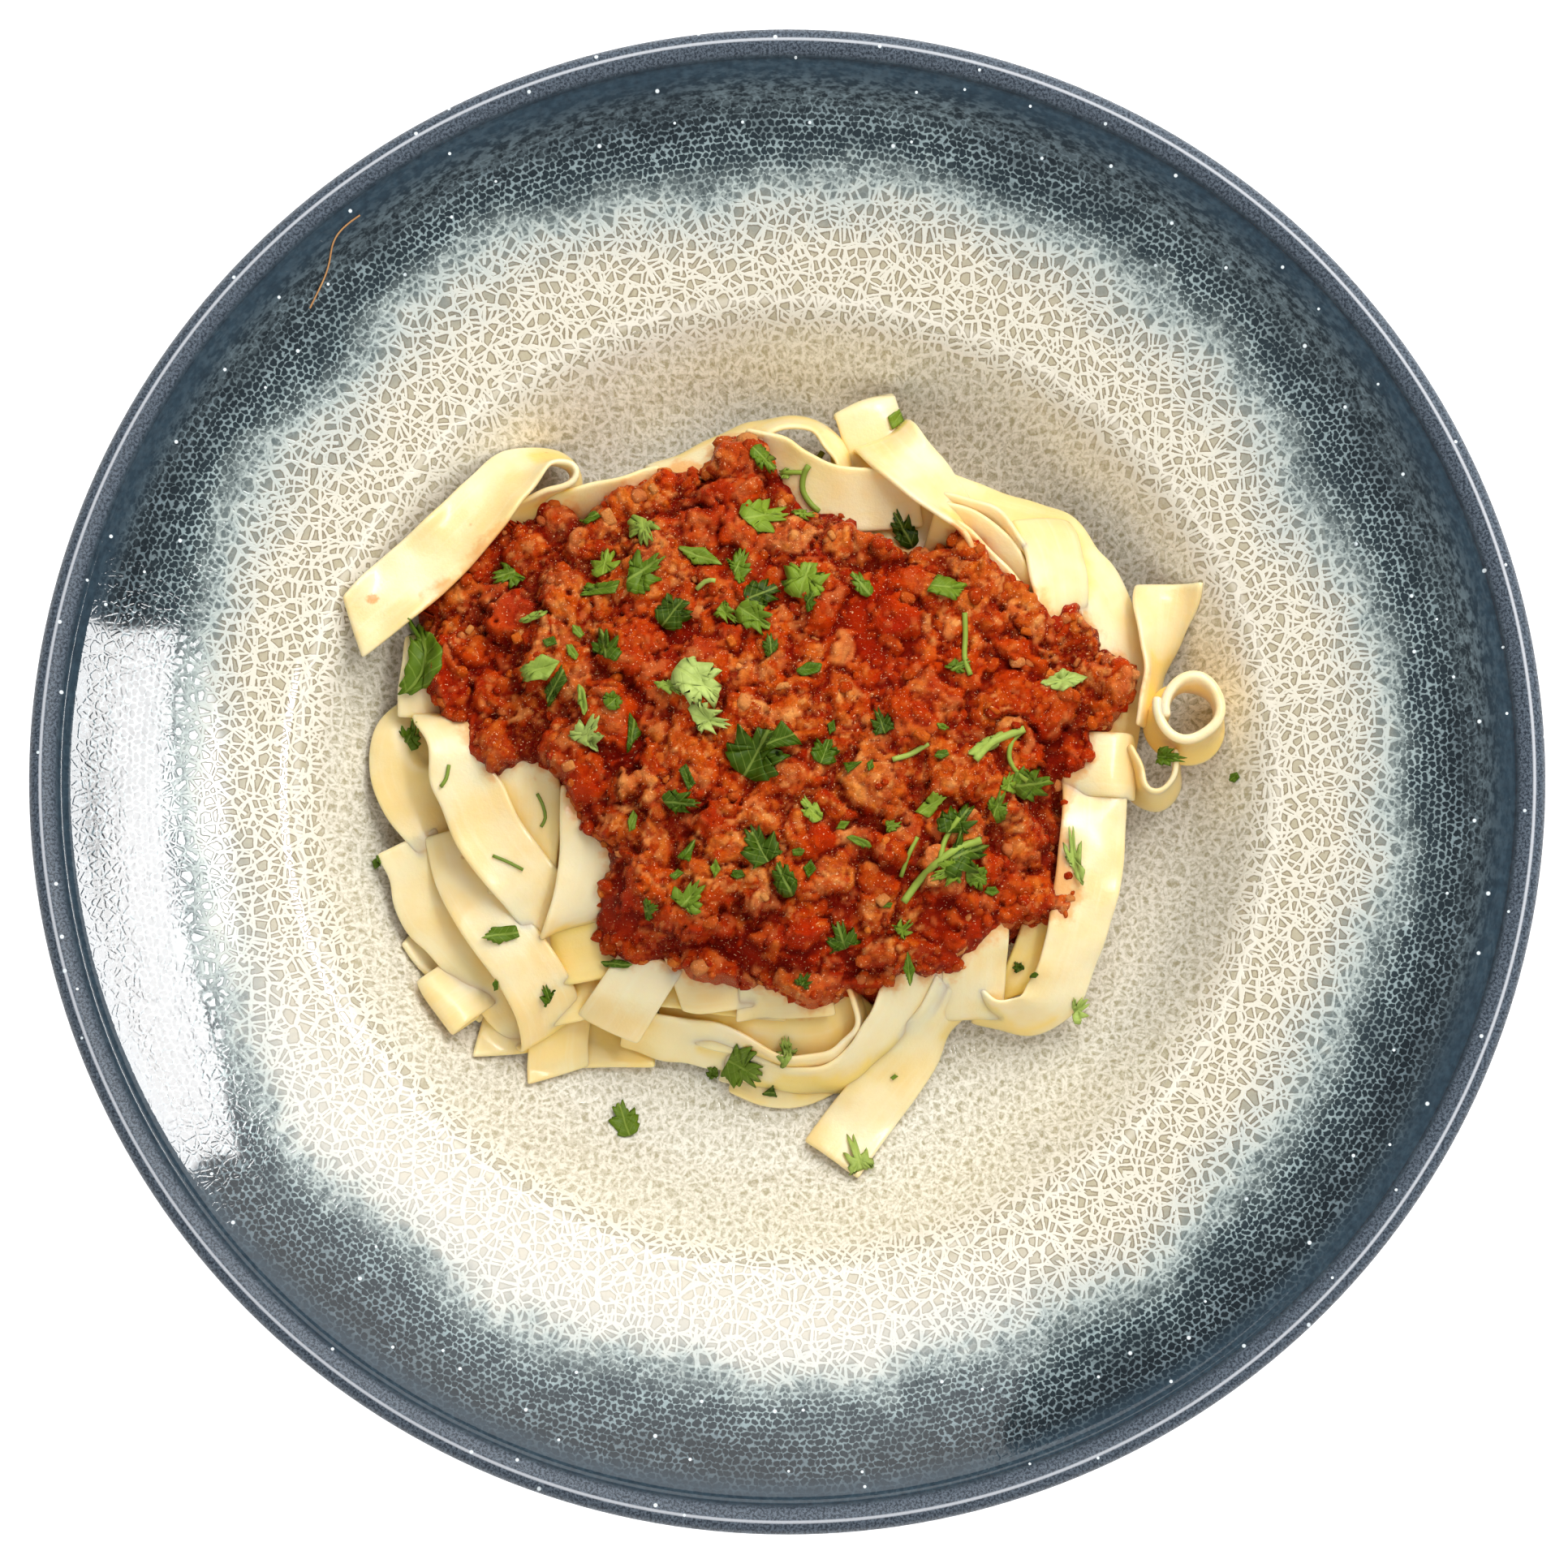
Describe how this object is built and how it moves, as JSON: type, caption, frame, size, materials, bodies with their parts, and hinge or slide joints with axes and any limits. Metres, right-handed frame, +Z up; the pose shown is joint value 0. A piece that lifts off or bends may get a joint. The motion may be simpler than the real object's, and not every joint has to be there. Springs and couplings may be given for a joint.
{
  "type": "fettuccine bolognese on a plate",
  "caption": "Round rimmed plate with a deep well, holding a loose heap of flat egg ribbon pasta under a coarse minced meat and tomato sauce.",
  "frame": {"origin": "centre of the plate's foot ring, on the surface that it stands on", "axes": "+Z up, out of the well; +X to the right and +Y away, as seen from the diner's side"},
  "size_m": [0.27, 0.27, 0.0426],
  "materials": {
    "plate": "gloss",
    "fettuccine": "satin",
    "bolognese_sauce": "gloss"
  },
  "bodies": {
    "root": {"plate": "plate", "fettuccine": "fettuccine", "bolognese_sauce": "bolognese_sauce"}
  },
  "joints": []
}
